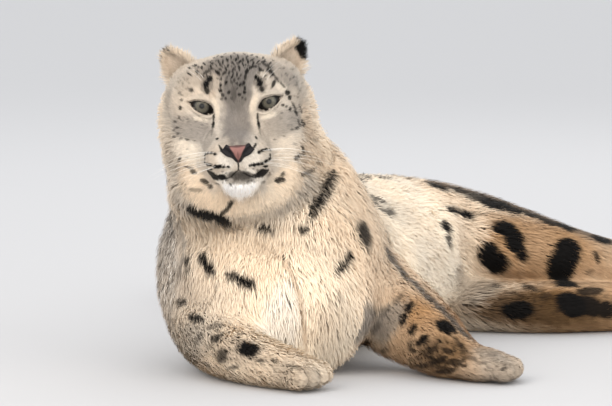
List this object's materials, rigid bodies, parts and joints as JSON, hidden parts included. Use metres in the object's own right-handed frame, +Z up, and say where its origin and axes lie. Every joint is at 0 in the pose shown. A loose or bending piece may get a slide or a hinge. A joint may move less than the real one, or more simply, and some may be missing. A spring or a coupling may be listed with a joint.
{
  "type": "snow leopard",
  "caption": "Life-size snow leopard lying with its chest upright, hips rolled to one side, hind legs stretched out and thick tail curled behind.",
  "frame": {"origin": "in the flat under the breast, on the floor the animal lies on", "axes": "+Z up, -Y the way the chest and face point, +X the animal's left, the way its hind legs stretch"},
  "size_m": [0.99, 1.1747, 0.4246],
  "materials": {
    "head": "matte fur",
    "neck": "matte fur",
    "chest": "matte fur",
    "abdomen": "matte fur",
    "hindquarters": "matte fur",
    "upper_arm_left": "matte fur",
    "forearm_left": "matte fur",
    "forepaw_left": "matte fur",
    "upper_arm_right": "matte fur",
    "forearm_right": "matte fur",
    "forepaw_right": "matte fur",
    "thigh_left": "matte fur",
    "shank_left": "matte fur",
    "hind_paw_left": "matte fur",
    "thigh_right": "matte fur",
    "shank_right": "matte fur",
    "hind_paw_right": "matte fur",
    "tail_base": "matte fur",
    "tail_middle": "matte fur",
    "tail_end": "matte fur",
    "ear_left": "matte fur",
    "ear_right": "matte fur",
    "nose": "satin",
    "eye_left": "wet gloss",
    "eye_right": "wet gloss"
  },
  "bodies": {
    "root": {"head": "head", "neck": "neck", "chest": "chest", "abdomen": "abdomen", "hindquarters": "hindquarters", "upper_arm_left": "upper_arm_left", "forearm_left": "forearm_left", "forepaw_left": "forepaw_left", "upper_arm_right": "upper_arm_right", "forearm_right": "forearm_right", "forepaw_right": "forepaw_right", "thigh_left": "thigh_left", "shank_left": "shank_left", "hind_paw_left": "hind_paw_left", "thigh_right": "thigh_right", "shank_right": "shank_right", "hind_paw_right": "hind_paw_right", "tail_base": "tail_base", "tail_middle": "tail_middle", "tail_end": "tail_end", "ear_left": "ear_left", "ear_right": "ear_right", "nose": "nose", "eye_left": "eye_left", "eye_right": "eye_right"}
  },
  "joints": []
}
